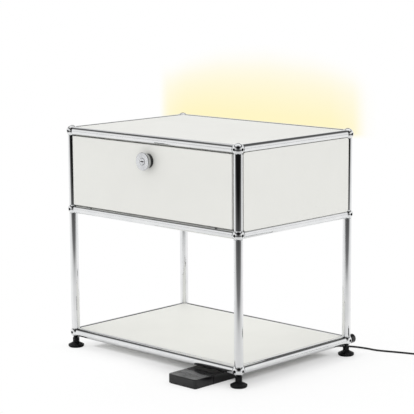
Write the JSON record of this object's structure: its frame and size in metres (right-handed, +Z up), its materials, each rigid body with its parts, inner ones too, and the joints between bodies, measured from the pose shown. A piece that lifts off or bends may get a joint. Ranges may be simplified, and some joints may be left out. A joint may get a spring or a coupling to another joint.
{
  "type": "nightstand with light",
  "caption": "Open nightstand of chromed tubes and ball joints with pale sheet panels, a locking drop-down door, a light bar along the top back edge and a foot dimmer on its mains lead.",
  "frame": {"origin": "on the floor under the middle of the tube grid", "axes": "+X to the right seen from the front, +Y to the back, +Z up"},
  "size_m": [0.7522, 0.5391, 0.5036],
  "materials": {
    "chromed_steel": "polished chrome plating",
    "panel_paint": "fine matt powder coat, warm white",
    "plain_steel": "zinc plated",
    "black_plastic": "fine matt",
    "black_cord": "smooth sheath",
    "opal_plastic": "opal, lit from behind",
    "channel_aluminium": "extruded",
    "board": "white solder mask",
    "lamp_chips": "clear over phosphor"
  },
  "bodies": {
    "frame": {"back_panel": "panel_paint", "balls_bottom": "chromed_steel", "balls_middle": "chromed_steel", "balls_top": "chromed_steel", "bottom_shelf": "panel_paint", "compartment_floor": "panel_paint", "cord_coil": "black_cord", "cord_relief": "black_cord", "cord_run": "black_cord", "cord_tie": "black_cord", "dimmer_base": "black_plastic", "dimmer_housing": "black_plastic", "dimmer_switch": "black_plastic", "hinge_brackets": "plain_steel", "left_panel": "panel_paint", "leg_lower_back_left": "chromed_steel", "leg_lower_back_right": "chromed_steel", "leg_lower_front_left": "chromed_steel", "leg_lower_front_right": "chromed_steel", "leg_upper_back_left": "chromed_steel", "leg_upper_back_right": "chromed_steel", "leg_upper_front_left": "chromed_steel", "leg_upper_front_right": "chromed_steel", "light_board": "board", "light_channel": "channel_aluminium", "light_chips": "lamp_chips", "light_lens": "opal_plastic", "light_tube": "chromed_steel", "lock_strike": "plain_steel", "plug_body": "black_plastic", "plug_pins": "plain_steel", "power_inlet": "black_plastic", "right_panel": "panel_paint", "top_panel": "panel_paint", "tube_bottom_back": "chromed_steel", "tube_bottom_front": "chromed_steel", "tube_bottom_left": "chromed_steel", "tube_bottom_right": "chromed_steel", "tube_connectors": "plain_steel", "tube_middle_back": "chromed_steel", "tube_middle_front": "chromed_steel", "tube_middle_left": "chromed_steel", "tube_middle_right": "chromed_steel", "tube_top_front": "chromed_steel", "tube_top_left": "chromed_steel", "tube_top_right": "chromed_steel"},
    "door": {"door_panel": "panel_paint", "door_hinge_lugs": "plain_steel", "hinge_pins": "plain_steel", "knob_barrel": "black_plastic", "knob_cap": "chromed_steel", "knob_nut": "plain_steel"},
    "lock": {"lock_plug": "chromed_steel", "lock_cam": "plain_steel", "lock_cam_screw": "plain_steel"},
    "pedal": {"dimmer_pedal": "black_plastic"},
    "foot_front_left": {"foot_front_left": "black_plastic"},
    "foot_front_right": {"foot_front_right": "black_plastic"},
    "foot_back_left": {"foot_back_left": "black_plastic"},
    "foot_back_right": {"foot_back_right": "black_plastic"}
  },
  "joints": [
    {"name": "door_drop", "type": "hinge", "parent": "frame", "child": "door", "pos_m": [0, -0.1789, 0.333], "axis": [1, 0, 0], "range_deg": [0, 90]},
    {"name": "key_turn", "type": "hinge", "parent": "door", "child": "lock", "pos_m": [0, -0.1834, 0.447], "axis": [0, -1, 0], "range_deg": [0, 90]},
    {"name": "pedal_press", "type": "slide", "parent": "frame", "child": "pedal", "axis": [0, 0, -1], "range_m": [0, 0.0015], "stiffness_N_per_m": 3000},
    {"name": "foot_front_left_turn", "type": "hinge", "parent": "frame", "child": "foot_front_left", "pos_m": [-0.25, -0.175, 0], "axis": [0, 0, 1], "continuous": true},
    {"name": "foot_front_right_turn", "type": "hinge", "parent": "frame", "child": "foot_front_right", "pos_m": [0.25, -0.175, 0], "axis": [0, 0, 1], "continuous": true},
    {"name": "foot_back_left_turn", "type": "hinge", "parent": "frame", "child": "foot_back_left", "pos_m": [-0.25, 0.175, 0], "axis": [0, 0, 1], "continuous": true},
    {"name": "foot_back_right_turn", "type": "hinge", "parent": "frame", "child": "foot_back_right", "pos_m": [0.25, 0.175, 0], "axis": [0, 0, 1], "continuous": true}
  ]
}
